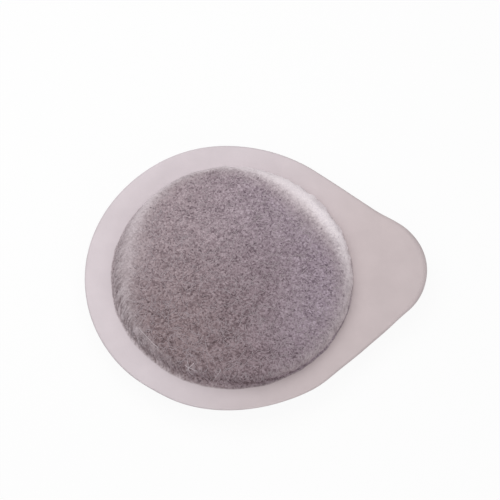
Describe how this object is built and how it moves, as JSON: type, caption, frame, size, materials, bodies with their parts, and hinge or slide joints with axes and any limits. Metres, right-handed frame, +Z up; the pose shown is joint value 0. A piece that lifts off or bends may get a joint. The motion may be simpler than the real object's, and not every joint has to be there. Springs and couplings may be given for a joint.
{
  "type": "coffee pod",
  "caption": "Single-serve paper coffee pod: a pressed disc of ground coffee sealed between two filter papers, with a flat rim and a pull tab.",
  "frame": {"origin": "centre of the flat underside that the pod lies on", "axes": "+X from the pod's centre along the pull tab, +Z up through the flat faces"},
  "size_m": [0.0633, 0.0541, 0.009],
  "materials": {
    "filter_paper": "matt off-white filter paper, thin enough for the coffee to show through",
    "ground_coffee": "dark roasted ground coffee, pressed"
  },
  "bodies": {
    "root": {"upper_filter_paper": "filter_paper", "lower_filter_paper": "filter_paper", "coffee_puck": "ground_coffee"}
  },
  "joints": []
}
